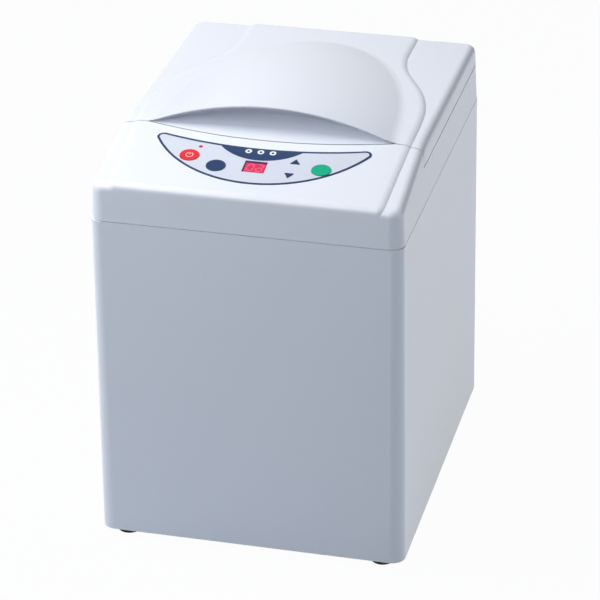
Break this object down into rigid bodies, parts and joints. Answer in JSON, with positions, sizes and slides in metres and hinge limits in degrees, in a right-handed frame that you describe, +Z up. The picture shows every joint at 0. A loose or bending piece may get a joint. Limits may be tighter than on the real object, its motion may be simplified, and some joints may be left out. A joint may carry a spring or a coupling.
{
  "type": "centrifugal dental mixer",
  "caption": "Free-standing bench mixer: upright cabinet, sloping key panel, rear-hinged lid with an arched grip, and a tilted cup that spins as it orbits in a round chamber.",
  "frame": {"origin": "on the floor under the middle of the body", "axes": "+Z up, front with the control panel faces -Y, +X to the right seen from the front"},
  "size_m": [0.23, 0.2804, 0.3244],
  "materials": {
    "shell_white": "satin injection moulded plastic",
    "inner_white": "matte",
    "rubber_black": "matte",
    "roller_rubber": "matte",
    "seal_grey": "matte",
    "steel": "brushed",
    "screw_steel": "zinc plated",
    "ground_steel": "ground",
    "aluminium": "machined",
    "motor_paint": "satin",
    "cup_blue": "satin",
    "board_green": "solder mask",
    "black_plastic": "matte",
    "brass": "plated",
    "fuse_glass": "clear",
    "overlay_pale": "printed foil",
    "display_red": "tinted window",
    "lamp_red": "lens",
    "key_red": "satin",
    "key_navy": "satin",
    "key_green": "satin"
  },
  "bodies": {
    "housing": {"cabinet": "shell_white", "upper_cover": "shell_white", "base_plate": "steel", "feet": "rubber_black", "base_screws": "screw_steel", "cover_screws": "screw_steel", "mixing_tub": "steel", "tub_gasket": "seal_grey", "tub_screws": "screw_steel", "chassis_plate": "steel", "isolators": "rubber_black", "motor_body": "motor_paint", "motor_screws": "screw_steel", "spindle_housing": "aluminium", "spindle_bearings": "ground_steel", "track_ring": "aluminium", "drive_belt": "roller_rubber", "transformer": "steel", "driver_board": "board_green", "power_inlet": "black_plastic", "inlet_pins": "brass", "control_overlay": "overlay_pale", "display_module": "black_plastic", "display_window": "display_red", "indicator_lamps": "lamp_red", "key_board": "board_green", "key_board_screws": "screw_steel", "key_switches": "black_plastic", "lock_solenoid": "motor_paint", "lid_switch": "black_plastic", "hinge_base_leaves": "steel", "hinge_base_screws": "screw_steel", "hinge_pins": "ground_steel"},
    "lid": {"lid_shell": "shell_white", "lid_liner": "inner_white", "liner_screws": "screw_steel", "lid_seal": "seal_grey", "lid_striker": "steel", "hinge_lid_leaves": "steel", "hinge_lid_screws": "screw_steel"},
    "rotor": {"main_shaft": "ground_steel", "driven_pulley": "aluminium", "rotor_arm": "aluminium", "rotor_nut": "screw_steel", "counterweight": "ground_steel", "arm_bearing": "ground_steel"},
    "holder": {"cup_holder": "aluminium", "drive_roller": "roller_rubber", "mixing_cup": "cup_blue", "cup_lid": "inner_white"},
    "motor_rotor": {"motor_shaft": "ground_steel", "motor_pulley": "aluminium"},
    "lock_bolt": {"lock_bolt": "ground_steel"},
    "fuse_drawer": {"fuse_drawer": "black_plastic", "fuse": "fuse_glass"},
    "key_power": {"key_power": "key_red"},
    "key_select": {"key_select": "key_navy"},
    "key_up": {"key_up": "key_navy"},
    "key_down": {"key_down": "key_navy"},
    "key_start": {"key_start": "key_green"}
  },
  "joints": [
    {"name": "lid_hinge", "type": "hinge", "parent": "housing", "child": "lid", "pos_m": [0, 0.1376, 0.2885], "axis": [-1, 0, 0], "range_deg": [0, 80]},
    {"name": "rotor_spin", "type": "hinge", "parent": "housing", "child": "rotor", "pos_m": [0, 0.0385, 0.156], "axis": [0, 0, 1], "continuous": true},
    {"name": "holder_spin", "type": "hinge", "parent": "rotor", "child": "holder", "pos_m": [0.032, 0.0385, 0.221], "axis": [-0.5, 0, 0.866], "continuous": true},
    {"name": "motor_spin", "type": "hinge", "parent": "housing", "child": "motor_rotor", "pos_m": [0, -0.092, 0.026], "axis": [0, 0, 1], "continuous": true},
    {"name": "lock_bolt_slide", "type": "slide", "parent": "housing", "child": "lock_bolt", "axis": [0, 1, 0], "range_m": [0, 0.008], "stiffness_N_per_m": 60, "springref_m": -0.002},
    {"name": "fuse_drawer_slide", "type": "slide", "parent": "housing", "child": "fuse_drawer", "axis": [0, 1, 0], "range_m": [0, 0.012]},
    {"name": "key_power_slide", "type": "slide", "parent": "housing", "child": "key_power", "axis": [0, 0.1994, -0.9799], "range_m": [0, 0.0005], "stiffness_N_per_m": 800, "springref_m": -0.0003},
    {"name": "key_select_slide", "type": "slide", "parent": "housing", "child": "key_select", "axis": [0, 0.1994, -0.9799], "range_m": [0, 0.0005], "stiffness_N_per_m": 800, "springref_m": -0.0003},
    {"name": "key_up_slide", "type": "slide", "parent": "housing", "child": "key_up", "axis": [0, 0.1994, -0.9799], "range_m": [0, 0.0005], "stiffness_N_per_m": 800, "springref_m": -0.0003},
    {"name": "key_down_slide", "type": "slide", "parent": "housing", "child": "key_down", "axis": [0, 0.1994, -0.9799], "range_m": [0, 0.0005], "stiffness_N_per_m": 800, "springref_m": -0.0003},
    {"name": "key_start_slide", "type": "slide", "parent": "housing", "child": "key_start", "axis": [0, 0.1994, -0.9799], "range_m": [0, 0.0005], "stiffness_N_per_m": 800, "springref_m": -0.0003}
  ],
  "couplings": [
    {"joint": "holder_spin", "follows": "rotor_spin", "ratio": 2.0465},
    {"joint": "motor_spin", "follows": "rotor_spin", "ratio": 2.5}
  ]
}
